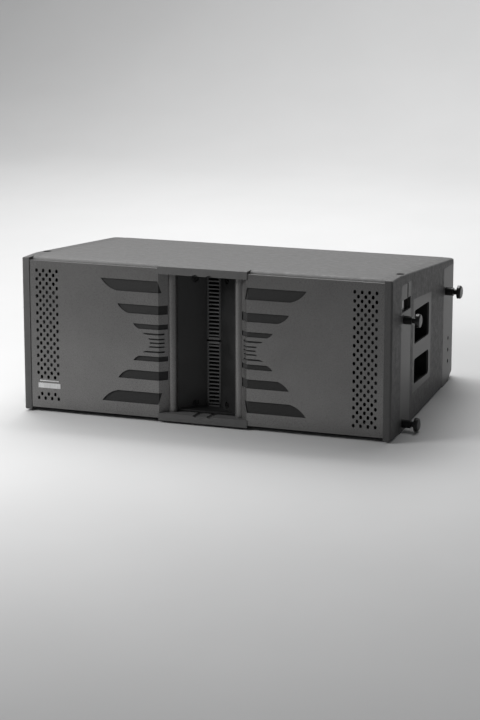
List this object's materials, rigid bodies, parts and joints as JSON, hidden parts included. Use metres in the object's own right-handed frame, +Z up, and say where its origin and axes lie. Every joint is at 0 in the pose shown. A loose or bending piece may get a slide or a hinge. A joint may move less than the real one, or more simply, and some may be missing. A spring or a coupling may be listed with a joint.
{
  "type": "line array speaker",
  "caption": "Wedge line array cabinet with slotted metal grilles, a central slot horn, side grip handles, rigging rails, lifting links and pull plungers.",
  "frame": {"origin": "centre of the footprint's bounding box, under the level front strip of the underside", "axes": "+X to the right seen from the front, +Y to the back, +Z up; the front face is vertical and faces -Y"},
  "size_m": [0.808, 0.446, 0.3],
  "materials": {
    "cabinet_paint": "textured polyurea paint on birch plywood",
    "grille_paint": "satin grey powder coat",
    "cloth": "acoustic cloth",
    "badge": "brushed",
    "horn_plastic": "smooth moulding",
    "rail_paint": "dark grey coat",
    "link_steel": "blackened",
    "plunger_black": "black knob and pin",
    "handle_paint": "fine textured",
    "cup_plastic": "moulded",
    "frame_metal": "cast, black",
    "cone_paper": "treated paper",
    "surround_rubber": "matte",
    "spider_cloth": "impregnated cloth",
    "coil_copper": "wound wire",
    "magnet_iron": "plated",
    "fastener": "black oxide",
    "board_green": "circuit board",
    "panel_metal": "black"
  },
  "bodies": {
    "cabinet": {"back_panel": "cabinet_paint", "badge_plate": "badge", "bottom_panel": "cabinet_paint", "connector_plate": "panel_metal", "connector_screws": "fastener", "crossover_board": "board_green", "front_baffle": "cabinet_paint", "front_rail_left": "rail_paint", "front_rail_right": "rail_paint", "grille_cloth_left": "cloth", "grille_cloth_right": "cloth", "grille_left": "grille_paint", "grille_right": "grille_paint", "handle_cup_left": "cup_plastic", "handle_cup_right": "cup_plastic", "handle_plate_left": "handle_paint", "handle_plate_right": "handle_paint", "high_driver_lower": "magnet_iron", "high_driver_upper": "magnet_iron", "horn_body": "horn_plastic", "horn_screws": "fastener", "plunger_barrels": "plunger_black", "port_tubes": "horn_plastic", "rail_bolts": "fastener", "rear_rail_left": "rail_paint", "rear_rail_right": "rail_paint", "side_panel_left": "cabinet_paint", "side_panel_right": "cabinet_paint", "speaker_sockets": "cup_plastic", "top_panel": "cabinet_paint", "waveguide_lower": "horn_plastic", "waveguide_upper": "horn_plastic", "woofer_basket_left": "frame_metal", "woofer_basket_right": "frame_metal", "woofer_magnet_left": "magnet_iron", "woofer_magnet_right": "magnet_iron", "woofer_screws": "fastener", "woofer_spider_left": "spider_cloth", "woofer_spider_right": "spider_cloth", "woofer_surround_left": "surround_rubber", "woofer_surround_right": "surround_rubber"},
    "front_upper_plunger_right": {"front_upper_plunger_right": "plunger_black"},
    "front_lower_plunger_right": {"front_lower_plunger_right": "plunger_black"},
    "rear_plunger_right": {"rear_plunger_right": "plunger_black"},
    "front_link_right": {"front_link_right": "link_steel"},
    "rear_link_right": {"rear_link_right": "link_steel"},
    "woofer_right_diaphragm": {"woofer_cone_right": "cone_paper", "woofer_dust_cap_right": "cone_paper", "woofer_voice_coil_right": "coil_copper"},
    "front_upper_plunger_left": {"front_upper_plunger_left": "plunger_black"},
    "front_lower_plunger_left": {"front_lower_plunger_left": "plunger_black"},
    "rear_plunger_left": {"rear_plunger_left": "plunger_black"},
    "front_link_left": {"front_link_left": "link_steel"},
    "rear_link_left": {"rear_link_left": "link_steel"},
    "woofer_left_diaphragm": {"woofer_cone_left": "cone_paper", "woofer_dust_cap_left": "cone_paper", "woofer_voice_coil_left": "coil_copper"}
  },
  "joints": [
    {"name": "front_upper_plunger_right_pull", "type": "slide", "parent": "cabinet", "child": "front_upper_plunger_right", "axis": [1, 0, 0], "range_m": [0, 0.016], "stiffness_N_per_m": 800},
    {"name": "front_lower_plunger_right_pull", "type": "slide", "parent": "cabinet", "child": "front_lower_plunger_right", "axis": [1, 0, 0], "range_m": [0, 0.016], "stiffness_N_per_m": 800},
    {"name": "rear_plunger_right_pull", "type": "slide", "parent": "cabinet", "child": "rear_plunger_right", "axis": [1, 0, 0], "range_m": [0, 0.016], "stiffness_N_per_m": 800},
    {"name": "front_link_right_lift", "type": "slide", "parent": "cabinet", "child": "front_link_right", "axis": [0, 0, 1], "range_m": [0, 0.045]},
    {"name": "rear_link_right_drop", "type": "slide", "parent": "cabinet", "child": "rear_link_right", "axis": [0, 0, -1], "range_m": [0, 0.035]},
    {"name": "woofer_right_stroke", "type": "slide", "parent": "cabinet", "child": "woofer_right_diaphragm", "axis": [0, -1, 0], "range_m": [-0.006, 0.006], "stiffness_N_per_m": 5000, "deforming": ["woofer_surround_right", "woofer_spider_right"]},
    {"name": "front_upper_plunger_left_pull", "type": "slide", "parent": "cabinet", "child": "front_upper_plunger_left", "axis": [-1, 0, 0], "range_m": [0, 0.016], "stiffness_N_per_m": 800},
    {"name": "front_lower_plunger_left_pull", "type": "slide", "parent": "cabinet", "child": "front_lower_plunger_left", "axis": [-1, 0, 0], "range_m": [0, 0.016], "stiffness_N_per_m": 800},
    {"name": "rear_plunger_left_pull", "type": "slide", "parent": "cabinet", "child": "rear_plunger_left", "axis": [-1, 0, 0], "range_m": [0, 0.016], "stiffness_N_per_m": 800},
    {"name": "front_link_left_lift", "type": "slide", "parent": "cabinet", "child": "front_link_left", "axis": [0, 0, 1], "range_m": [0, 0.045]},
    {"name": "rear_link_left_drop", "type": "slide", "parent": "cabinet", "child": "rear_link_left", "axis": [0, 0, -1], "range_m": [0, 0.035]},
    {"name": "woofer_left_stroke", "type": "slide", "parent": "cabinet", "child": "woofer_left_diaphragm", "axis": [0, -1, 0], "range_m": [-0.006, 0.006], "stiffness_N_per_m": 5000, "deforming": ["woofer_surround_left", "woofer_spider_left"]}
  ]
}
